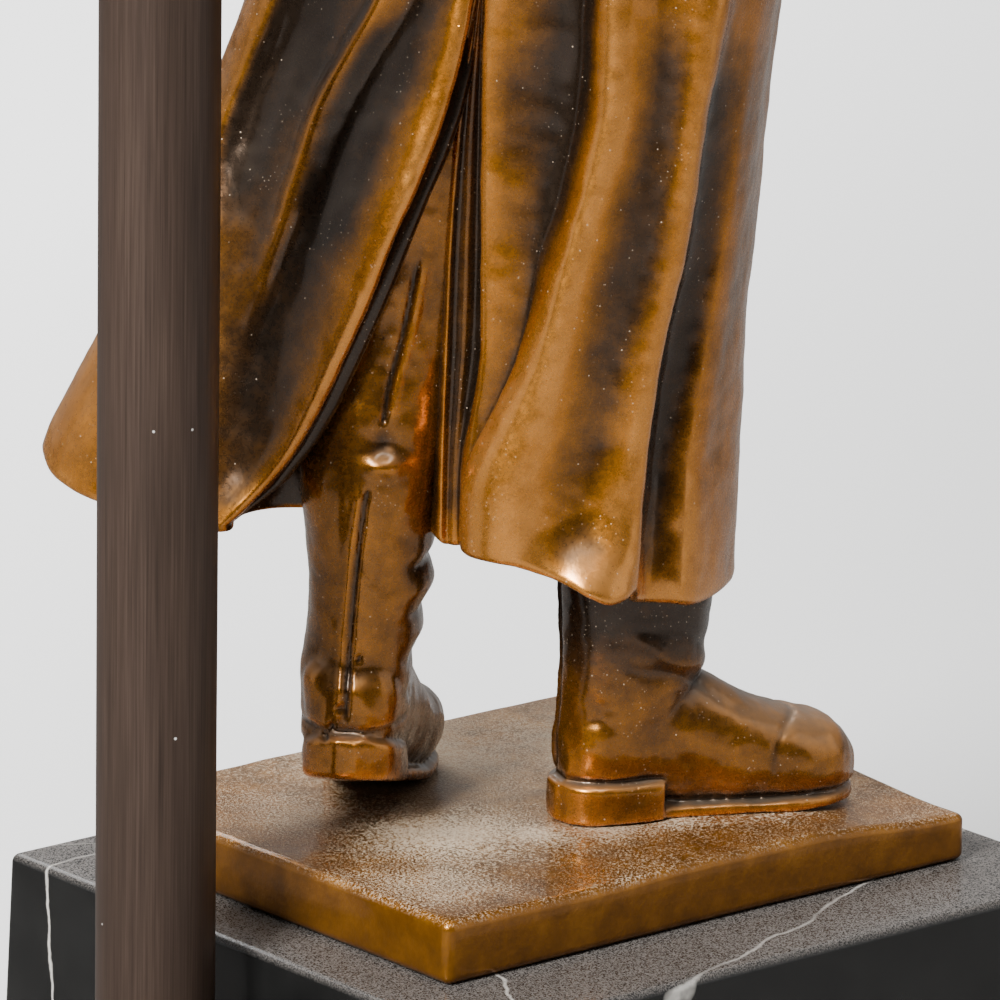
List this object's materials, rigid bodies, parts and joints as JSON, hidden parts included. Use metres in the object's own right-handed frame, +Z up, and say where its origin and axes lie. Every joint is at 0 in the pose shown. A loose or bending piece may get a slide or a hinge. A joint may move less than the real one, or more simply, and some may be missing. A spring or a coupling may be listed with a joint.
{
  "type": "figural table lamp",
  "caption": "Table lamp with a cast bronze walker in an overcoat on a black marble foot, a round pole behind it and a tapered fabric shade.",
  "frame": {"origin": "centre of the marble foot's underside, on the surface that the lamp stands on", "axes": "+Z up along the pole, -Y the way the walker faces, +X to the right seen from the front"},
  "size_m": [0.3412, 0.341, 0.7008],
  "materials": {
    "polished_marble": "polished, dusty, white veins",
    "felt": "pressed felt",
    "patinated_bronze": "cast, golden brown patina, waxed",
    "dark_patinated_bronze": "cast, dark brown patina",
    "bronzed_tube": "brushed along its length, bronzed dark brown",
    "zinc_steel": "zinc plated",
    "turned_brass": "lacquered, satin",
    "fibre_board": "pressed paper",
    "porcelain": "glazed",
    "nickel_brass": "nickel plated",
    "moulded_black": "phenolic, moulded",
    "opal_glass": "opal, frosted",
    "shade_linen": "linen on stiff backing",
    "shade_tape": "bias tape",
    "lead_sheath": "brown sheath"
  },
  "bodies": {
    "root": {"foot_slab": "polished_marble", "foot_felt": "felt", "plinth_block": "polished_marble", "ground_plate": "dark_patinated_bronze", "boot_pins": "zinc_steel", "plinth_screws": "zinc_steel", "plinth_washers": "zinc_steel", "pole_tube": "bronzed_tube", "pole_pipe": "zinc_steel", "pole_washer": "zinc_steel", "pole_nut": "turned_brass", "pole_bushes": "turned_brass", "pole_flange": "bronzed_tube", "pole_cap": "bronzed_tube", "inlet_bush": "moulded_black", "inner_lead": "lead_sheath", "holder_cap": "turned_brass", "holder_shell": "turned_brass", "holder_liner": "fibre_board", "holder_body": "porcelain", "thread_shell": "nickel_brass", "centre_contact": "turned_brass", "bulb_glass": "opal_glass", "bulb_cap": "nickel_brass", "harp_saddle": "turned_brass", "harp": "turned_brass", "harp_stud": "turned_brass", "right_boot": "patinated_bronze", "left_boot": "patinated_bronze", "right_leg": "patinated_bronze", "left_leg": "patinated_bronze", "coat_skirt": "patinated_bronze", "coat_body": "patinated_bronze", "coat_belt": "patinated_bronze", "right_sleeve": "patinated_bronze", "left_sleeve": "patinated_bronze", "coat_collar": "patinated_bronze", "coat_buttons": "patinated_bronze", "head": "patinated_bronze", "hat": "patinated_bronze", "hat_band": "patinated_bronze"},
    "shade": {"shade_cover": "shade_linen", "shade_tapes": "shade_tape", "shade_low_ring": "turned_brass", "shade_spider": "turned_brass"},
    "finial_knob": {"finial": "turned_brass"},
    "key": {"switch_key": "moulded_black"},
    "front_sleeve": {"front_ferrule": "turned_brass"},
    "rear_sleeve": {"rear_ferrule": "turned_brass"}
  },
  "joints": [
    {"name": "shade_turn", "type": "hinge", "parent": "root", "child": "shade", "pos_m": [0, 0.063, 0.6], "axis": [0, 0, 1], "continuous": true},
    {"name": "finial_turn", "type": "hinge", "parent": "root", "child": "finial_knob", "pos_m": [0, 0.063, 0.68], "axis": [0, 0, 1], "continuous": true},
    {"name": "key_turn", "type": "hinge", "parent": "root", "child": "key", "pos_m": [0, 0.063, 0.4826], "axis": [1, 0, 0], "continuous": true},
    {"name": "front_ferrule_lift", "type": "slide", "parent": "root", "child": "front_sleeve", "axis": [0, 0, 1], "range_m": [0, 0.01]},
    {"name": "rear_ferrule_lift", "type": "slide", "parent": "root", "child": "rear_sleeve", "axis": [0, 0, 1], "range_m": [0, 0.01]}
  ]
}
